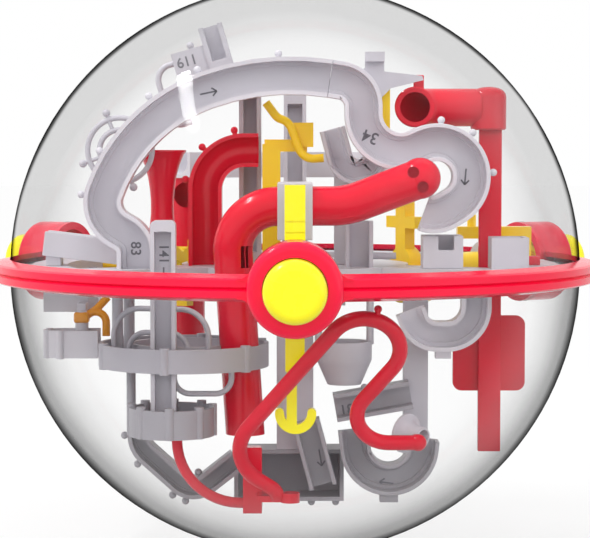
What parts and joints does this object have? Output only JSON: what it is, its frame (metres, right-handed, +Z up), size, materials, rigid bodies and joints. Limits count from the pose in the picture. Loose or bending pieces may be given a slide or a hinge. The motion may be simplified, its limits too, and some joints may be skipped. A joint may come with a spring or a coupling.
{
  "type": "dexterity puzzle",
  "caption": "Clear globe maze puzzle: red equator ring with collared turning dials, and inside it red, grey and yellow tracks, pipes and dishes that a small steel ball is steered along.",
  "frame": {"origin": "centre of the clear globe, on the axes of the three dials", "axes": "+Z up through the upper shell half, square to the red equator ring; -Y towards the front dial; +X to the right as seen from the front dial"},
  "size_m": [0.2088, 0.2169, 0.19],
  "materials": {
    "clear_shell": "clear, polished",
    "ring_red": "glossy",
    "knob_yellow": "glossy",
    "track_grey": "satin",
    "track_red": "glossy",
    "inner_yellow": "glossy",
    "hook_orange": "glossy",
    "ball_steel": "polished"
  },
  "bodies": {
    "globe": {"upper_shell": "clear_shell", "lower_shell": "clear_shell", "ring_upper": "ring_red", "ring_lower": "ring_red", "carrier_deck": "track_grey", "arch_track": "track_grey", "s_track": "track_grey", "top_clip": "track_grey", "mast_bracket": "track_grey", "loop_rail": "track_grey", "number_column": "track_grey", "half_pipe": "track_red", "vase": "track_red", "wave_post": "inner_yellow", "vee_track": "track_grey", "pipe_coupler": "track_grey", "elbow_pipe": "track_red", "swan_pipe": "track_red", "top_tube": "track_red", "flat_post": "track_red", "back_plate": "track_red", "peg_rail": "inner_yellow", "tower_track": "track_grey", "right_box": "track_grey", "right_cup": "track_grey", "right_beam": "inner_yellow", "left_beam": "inner_yellow", "left_ramp": "track_grey", "round_dish": "track_grey", "small_dish": "track_grey", "left_gutter": "track_grey", "left_hook": "hook_orange", "v_chute": "track_grey", "number_ramp": "track_grey", "arrow_chute": "track_grey", "u_bend_track": "track_grey", "keel_post": "track_grey", "tall_post": "track_grey", "drop_post": "track_red", "arc_rail": "track_red", "wavy_rail": "track_red", "funnel_wheel": "track_grey", "j_track": "track_grey", "cone_box": "track_grey", "rear_gutter": "track_grey", "rear_mast": "track_grey", "rear_keel": "track_grey", "rear_track": "track_grey", "rear_pipe": "track_red"},
    "front_dial": {"front_knob": "knob_yellow", "lift_arm": "inner_yellow"},
    "left_dial": {"left_knob": "knob_yellow", "left_rotor": "inner_yellow"},
    "right_dial": {"right_knob": "knob_yellow", "right_rotor": "inner_yellow"},
    "ball": {"steel_ball": "ball_steel"}
  },
  "joints": [
    {"name": "front_dial_turn", "type": "hinge", "parent": "globe", "child": "front_dial", "pos_m": [0, 0, 0], "axis": [0, 1, 0], "continuous": true},
    {"name": "left_dial_turn", "type": "hinge", "parent": "globe", "child": "left_dial", "pos_m": [0, 0, 0], "axis": [-0.866, 0.5, 0], "continuous": true},
    {"name": "right_dial_turn", "type": "hinge", "parent": "globe", "child": "right_dial", "pos_m": [0, 0, 0], "axis": [0.866, 0.5, 0], "continuous": true},
    {"name": "ball_run", "type": "slide", "parent": "globe", "child": "ball", "axis": [-0.9994, 0, 0.0349], "range_m": [0, 0.0378]}
  ]
}
